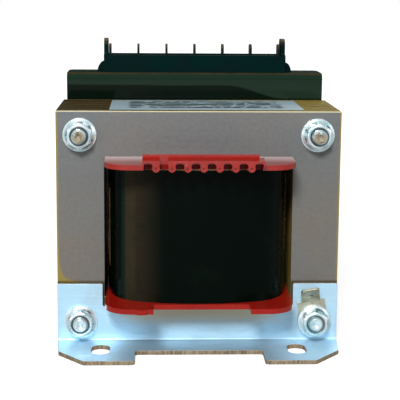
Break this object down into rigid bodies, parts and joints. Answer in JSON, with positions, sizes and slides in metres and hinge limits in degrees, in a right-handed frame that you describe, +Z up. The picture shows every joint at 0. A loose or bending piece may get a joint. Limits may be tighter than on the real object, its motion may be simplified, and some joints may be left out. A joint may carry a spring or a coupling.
{
  "type": "laminated chassis transformer",
  "caption": "Open-frame mains transformer: interleaved E and I core, wound moulded bobbin, folded foot brackets, core bolts, earth tab and a strip of blade terminals on top",
  "frame": {"origin": "middle of the footprint, on the plane that the feet stand on", "axes": "+Z up through the core, +X to the right as seen from the side with the comb and earth tab, +Y to the back, where the terminal bracket is"},
  "size_m": [0.096, 0.089, 0.1025],
  "materials": {
    "lamination_steel": "grey annealed electrical steel, with amber varnish on the cut edges",
    "bobbin_nylon": "glossy red moulded nylon",
    "winding_copper": "enamelled copper wire",
    "insulation_paper": "cream insulation paper",
    "black_tape": "glossy black polyester tape",
    "zinc_fasteners": "bright zinc plate",
    "zinc_sheet": "pale blue zinc plate with bare cut edges",
    "tinned_brass": "tinned brass, dulled",
    "black_sheet": "gloss black paint",
    "strip_plastic": "black moulded thermoset",
    "lead_sleeve": "varnished glass sleeving",
    "label_film": "bare silver film"
  },
  "bodies": {
    "root": {"e_laminations": "lamination_steel", "i_laminations": "lamination_steel", "bobbin": "bobbin_nylon", "primary_winding": "winding_copper", "interlayer_insulation": "insulation_paper", "secondary_winding": "winding_copper", "margin_collar": "insulation_paper", "outer_tape": "black_tape", "core_bolts": "zinc_fasteners", "rear_washers": "zinc_fasteners", "flange_nuts": "zinc_fasteners", "front_foot_bracket": "zinc_sheet", "rear_foot_bracket": "zinc_sheet", "earth_tab": "tinned_brass", "terminal_bracket": "black_sheet", "terminal_strip": "strip_plastic", "strip_rivets": "zinc_fasteners", "terminal_blade_1": "tinned_brass", "terminal_blade_2": "tinned_brass", "terminal_blade_3": "tinned_brass", "terminal_blade_4": "tinned_brass", "terminal_blade_5": "tinned_brass", "terminal_blade_6": "tinned_brass", "terminal_blade_7": "tinned_brass", "lead_wires": "lead_sleeve", "rating_label": "label_film"}
  },
  "joints": []
}
